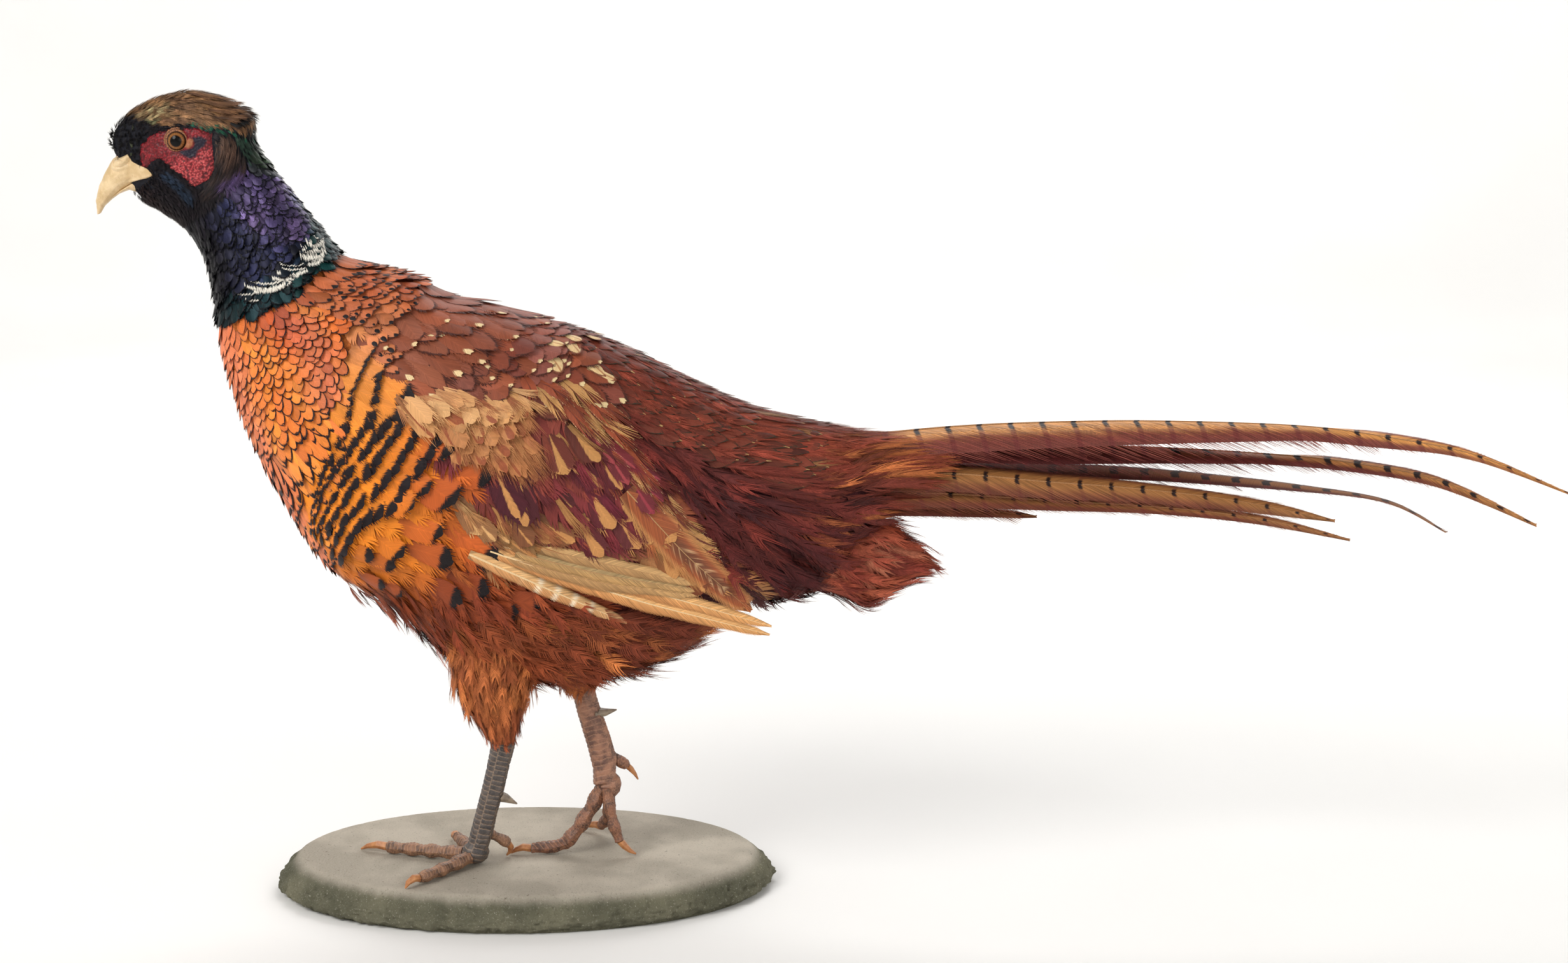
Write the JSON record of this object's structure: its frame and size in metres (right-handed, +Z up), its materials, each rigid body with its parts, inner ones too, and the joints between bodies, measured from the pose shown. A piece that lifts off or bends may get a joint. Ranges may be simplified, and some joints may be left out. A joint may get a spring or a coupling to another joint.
{
  "type": "taxidermy cock pheasant",
  "caption": "Life-size taxidermy mount of a cock common pheasant walking, head up and tail level behind it, on a low oval textured base.",
  "frame": {"origin": "centre of the base's flat underside", "axes": "the bird faces -Y, its left side is +X, +Z is up"},
  "size_m": [0.1768, 0.8196, 0.4605],
  "materials": {
    "base_stone": "matte grit",
    "head_feathers": "silky, iridescent",
    "neck_feathers": "silky, iridescent",
    "body_feathers": "soft",
    "wing_feathers": "soft",
    "flight_feathers": "smooth",
    "tail_feathers": "smooth",
    "down_feathers": "loose, downy",
    "wattle_skin": "pebbled",
    "bill_horn": "satin horn",
    "eye_glass": "polished glass eye",
    "leg_scutes": "scaly",
    "claw_horn": "satin horn"
  },
  "bodies": {
    "root": {"base": "base_stone", "neck": "neck_feathers", "head": "head_feathers", "bill_upper": "bill_horn", "bill_lower": "bill_horn", "eye_left": "eye_glass", "wattle_left": "wattle_skin", "wing_left": "wing_feathers", "flight_feathers_left": "flight_feathers", "thigh_left": "down_feathers", "shank_left": "leg_scutes", "spur_left": "claw_horn", "toe_middle_left": "leg_scutes", "claw_middle_left": "claw_horn", "toe_outer_left": "leg_scutes", "claw_outer_left": "claw_horn", "toe_inner_left": "leg_scutes", "claw_inner_left": "claw_horn", "toe_hind_left": "leg_scutes", "claw_hind_left": "claw_horn", "eye_right": "eye_glass", "wattle_right": "wattle_skin", "wing_right": "wing_feathers", "flight_feathers_right": "flight_feathers", "thigh_right": "down_feathers", "shank_right": "leg_scutes", "spur_right": "claw_horn", "toe_middle_right": "leg_scutes", "claw_middle_right": "claw_horn", "toe_outer_right": "leg_scutes", "claw_outer_right": "claw_horn", "toe_inner_right": "leg_scutes", "claw_inner_right": "claw_horn", "toe_hind_right": "leg_scutes", "claw_hind_right": "claw_horn", "undertail_coverts": "down_feathers", "tail_feather_1": "tail_feathers", "tail_feather_2": "tail_feathers", "tail_feather_3": "tail_feathers", "tail_feather_4": "tail_feathers", "tail_feather_5": "tail_feathers", "tail_feather_6": "tail_feathers", "tail_feather_7": "tail_feathers", "tail_feather_8": "tail_feathers", "trunk": "body_feathers"}
  },
  "joints": []
}
